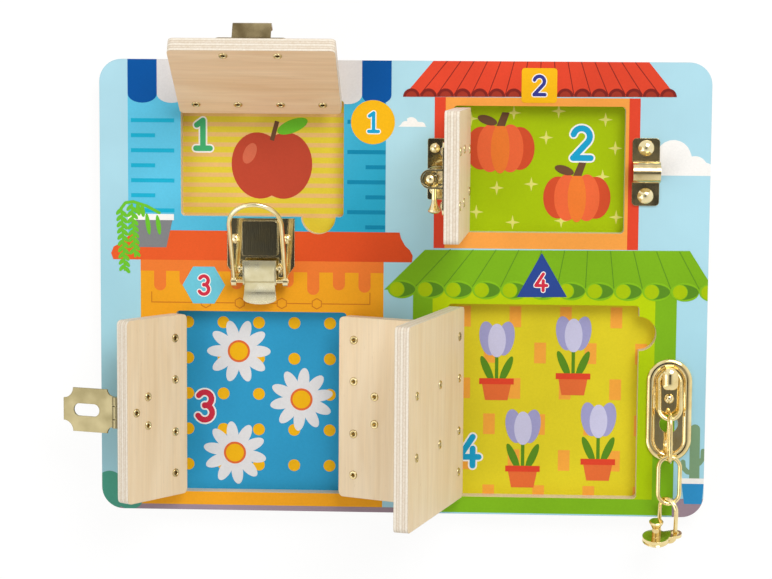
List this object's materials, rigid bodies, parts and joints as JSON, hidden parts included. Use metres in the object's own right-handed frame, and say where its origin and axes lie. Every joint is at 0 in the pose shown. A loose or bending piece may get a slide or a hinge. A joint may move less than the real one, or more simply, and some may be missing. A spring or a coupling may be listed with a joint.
{
  "type": "latch puzzle board",
  "caption": "Wooden puzzle board with picture windows behind hinged plywood doors, each shut by its own brass latch: toggle, barrel bolt, hasp or door chain.",
  "frame": {"origin": "centre of the board's back face", "axes": "+X to the right along the board, +Y up the board, +Z out of its front; the board lies on its back with the doors standing open as in the picture"},
  "size_m": [0.3144, 0.2543, 0.1055],
  "materials": {
    "printed_plywood": "birch plywood with a satin colour print on its front",
    "picture_board": "thin plywood with satin colour pictures",
    "birch_plywood": "bare sanded birch plywood",
    "brass": "pressed steel with bright pale brass plating"
  },
  "bodies": {
    "board": {"back_panel": "picture_board", "front_panel": "printed_plywood", "board_rivets": "brass", "hinge_1_board_leaves": "brass", "hinge_1_pins": "brass", "hinge_2_board_leaf": "brass", "hinge_2_pin": "brass", "hinge_3l_board_leaves": "brass", "hinge_3l_pins": "brass", "hinge_3r_board_leaves": "brass", "hinge_3r_pins": "brass", "hinge_4_board_leaves": "brass", "hinge_4_pins": "brass", "toggle_base": "brass", "toggle_lever_pin": "brass", "bolt_keeper": "brass", "chain_anchor": "brass"},
    "door_1": {"door_1": "birch_plywood", "hinge_1_door_leaves": "brass", "door_1_rivets": "brass", "toggle_catch": "brass"},
    "door_2": {"door_2": "birch_plywood", "hinge_2_door_leaf": "brass", "door_2_rivets": "brass", "bolt_plate": "brass"},
    "door_3_left": {"door_3_left": "birch_plywood", "hinge_3l_door_leaves": "brass", "door_3l_rivets": "brass", "hasp_leaf": "brass", "hasp_pin": "brass"},
    "door_3_right": {"door_3_right": "birch_plywood", "hinge_3r_door_leaves": "brass", "door_3r_rivets": "brass", "staple_plate": "brass"},
    "door_4": {"door_4": "birch_plywood", "hinge_4_door_leaves": "brass", "door_4_rivets": "brass", "chain_track": "brass"},
    "toggle_lever": {"toggle_lever": "brass", "toggle_bail_pin": "brass"},
    "toggle_bail": {"toggle_bail": "brass"},
    "bolt_rod": {"bolt_rod": "brass"},
    "bolt_knob": {"bolt_knob": "brass"},
    "hasp_flap": {"hasp_flap": "brass"},
    "staple_eye": {"staple_eye": "brass"},
    "chain_link_1": {"chain_link_1": "brass"},
    "chain_link_2": {"chain_link_2": "brass"},
    "chain_link_3": {"chain_link_3": "brass"},
    "chain_link_4": {"chain_link_4": "brass"},
    "chain_plug": {"chain_plug": "brass"}
  },
  "joints": [
    {"name": "door_1_hinge", "type": "hinge", "parent": "board", "child": "door_1", "pos_m": [-0.0695, 0.09275, 0.0136], "axis": [-1, 0, 0], "range_deg": [-123, 37]},
    {"name": "door_2_hinge", "type": "hinge", "parent": "board", "child": "door_2", "pos_m": [0.0245, 0.0595, 0.0136], "axis": [0, -1, 0], "range_deg": [-93, 23]},
    {"name": "door_3_left_hinge", "type": "hinge", "parent": "board", "child": "door_3_left", "pos_m": [-0.1125, -0.0575, 0.0136], "axis": [0, -1, 0], "range_deg": [-126, 20]},
    {"name": "door_3_right_hinge", "type": "hinge", "parent": "board", "child": "door_3_right", "pos_m": [-0.0275, -0.0575, 0.0136], "axis": [0, 1, 0], "range_deg": [-154.5, 0]},
    {"name": "door_4_hinge", "type": "hinge", "parent": "board", "child": "door_4", "pos_m": [0.02275, -0.0552, 0.0136], "axis": [0, -1, 0], "range_deg": [-105, 15]},
    {"name": "toggle_lever_pivot", "type": "hinge", "parent": "board", "child": "toggle_lever", "pos_m": [-0.07, 0.01005, 0.018], "axis": [-1, 0, 0], "range_deg": [0, 32]},
    {"name": "toggle_bail_pivot", "type": "hinge", "parent": "toggle_lever", "child": "toggle_bail", "pos_m": [-0.07, 0.00375, 0.018], "axis": [1, 0, 0], "range_deg": [-35, 95]},
    {"name": "bolt_slide", "type": "slide", "parent": "door_2", "child": "bolt_rod", "axis": [-0.0523, 0, 0.9986], "range_m": [0, 0.014]},
    {"name": "bolt_knob_turn", "type": "hinge", "parent": "bolt_rod", "child": "bolt_knob", "pos_m": [0.01679, 0.0589, 0.06907], "axis": [0.0523, 0, -0.9986], "range_deg": [0, 90]},
    {"name": "hasp_flap_hinge", "type": "hinge", "parent": "door_3_left", "child": "hasp_flap", "pos_m": [-0.13675, -0.058, 0.04629], "axis": [0, -1, 0], "range_deg": [-72, 20]},
    {"name": "staple_turn", "type": "hinge", "parent": "door_3_right", "child": "staple_eye", "pos_m": [-0.00337, -0.058, 0.02688], "axis": [0.4305, 0, -0.9026], "range_deg": [0, 90]},
    {"name": "chain_link_1_lift", "type": "hinge", "parent": "board", "child": "chain_link_1", "pos_m": [0.1321, -0.0392, 0.01435], "axis": [-1, 0, 0], "range_deg": [0, 10]},
    {"name": "chain_link_2_lift", "type": "hinge", "parent": "chain_link_1", "child": "chain_link_2", "pos_m": [0.1321, -0.0619, 0.01959], "axis": [-1, 0, 0], "range_deg": [0, 25]},
    {"name": "chain_link_3_swing", "type": "hinge", "parent": "chain_link_2", "child": "chain_link_3", "pos_m": [0.1321, -0.08277, 0.02142], "axis": [0, 0, 1], "range_deg": [-6, 20]},
    {"name": "chain_link_4_lift", "type": "hinge", "parent": "chain_link_3", "child": "chain_link_4", "pos_m": [0.1321, -0.10369, 0.02032], "axis": [-1, 0, 0], "range_deg": [0, 18]},
    {"name": "chain_plug_turn", "type": "hinge", "parent": "chain_link_4", "child": "chain_plug", "pos_m": [0.13581, -0.11922, 0.01946], "axis": [0, 0.9563, 0.2924], "range_deg": [0, 40]}
  ]
}
